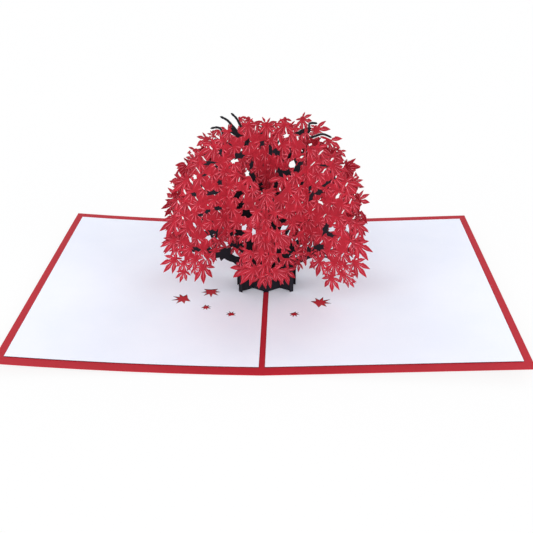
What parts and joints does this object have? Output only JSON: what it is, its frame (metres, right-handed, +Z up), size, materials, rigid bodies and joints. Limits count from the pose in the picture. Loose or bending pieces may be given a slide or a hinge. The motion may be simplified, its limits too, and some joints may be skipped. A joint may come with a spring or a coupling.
{
  "type": "pop up card",
  "caption": "Opened greeting card with a red folded cover, white inner panels and a standing tree of slotted red foliage and black trunk sheets over its spine.",
  "frame": {"origin": "on the table under the spine fold, in the middle of the card's depth", "axes": "+X to the right half of the opened card, +Y to the back, +Z up"},
  "size_m": [0.254, 0.178, 0.0987],
  "materials": {
    "cover_red": "matt coloured card",
    "panel_white": "smooth white paper",
    "foliage_red": "matt deep red paper, laser cut",
    "trunk_black": "matt black paper, laser cut"
  },
  "bodies": {
    "root": {"cover": "cover_red", "left_panel": "panel_white", "right_panel": "panel_white", "trunk_left": "trunk_black", "foliage_left": "foliage_red", "trunk_wall_front_left": "trunk_black", "foliage_front_left": "foliage_red", "trunk_wall_rear_left": "trunk_black", "foliage_rear_left": "foliage_red", "trunk_right": "trunk_black", "foliage_right": "foliage_red", "trunk_wall_front_right": "trunk_black", "foliage_front_right": "foliage_red", "trunk_wall_rear_right": "trunk_black", "foliage_rear_right": "foliage_red"}
  },
  "joints": []
}
